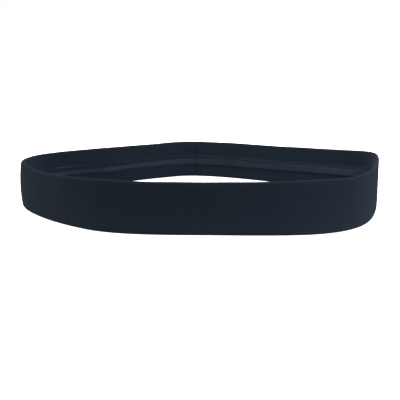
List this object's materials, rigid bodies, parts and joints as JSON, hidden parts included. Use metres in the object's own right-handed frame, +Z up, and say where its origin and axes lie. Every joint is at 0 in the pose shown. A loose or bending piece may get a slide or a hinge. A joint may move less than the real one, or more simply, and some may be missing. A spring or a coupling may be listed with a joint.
{
  "type": "sports headband",
  "caption": "Slim stretch headband for racket sports: a soft oval loop of folded dark knit over an elastic band, with a raised lapped seam inside and a joining seam at the back.",
  "frame": {"origin": "under the middle of the loop, on the surface the band stands on", "axes": "+X along the loop's longer way across, -Y towards the front, +Z up across the band's width"},
  "size_m": [0.1702, 0.141, 0.02],
  "materials": {
    "cloth": "matt navy-black stretch knit with fine upright ribs",
    "elastic": "matt black knitted elastic",
    "thread": "navy-black sewing thread with a slight sheen"
  },
  "bodies": {
    "root": {"cover_cloth": "cloth", "elastic_core": "elastic", "core_join_thread": "thread", "seam_needle_thread_upper": "thread", "seam_needle_thread_lower": "thread", "seam_looper_thread": "thread", "back_seam_thread": "thread"}
  },
  "joints": []
}
